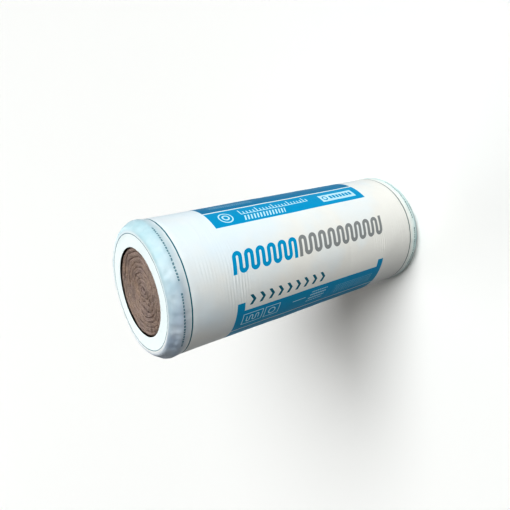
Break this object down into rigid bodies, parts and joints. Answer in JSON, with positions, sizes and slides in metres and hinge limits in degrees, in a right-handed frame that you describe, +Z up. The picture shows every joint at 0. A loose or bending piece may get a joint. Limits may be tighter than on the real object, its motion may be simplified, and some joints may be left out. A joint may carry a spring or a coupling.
{
  "type": "insulation roll",
  "caption": "Roll of compressed brown mineral wool blanket in a white printed film wrap, standing on one end, with a round window in each end that shows the wound turns.",
  "frame": {"origin": "on the floor, in the middle of the lower end", "axes": "+Z up, along the roll's axis; the printed side faces -Y"},
  "size_m": [0.4499, 0.45, 1.142],
  "materials": {
    "mineral_wool": "matt brown glass mineral wool, fibrous, in squeezed turns",
    "printed_film": "white polythene film, satin gloss, with plain blue printed panels"
  },
  "bodies": {
    "root": {"wool_roll": "mineral_wool", "film_wrap": "printed_film"}
  },
  "joints": []
}
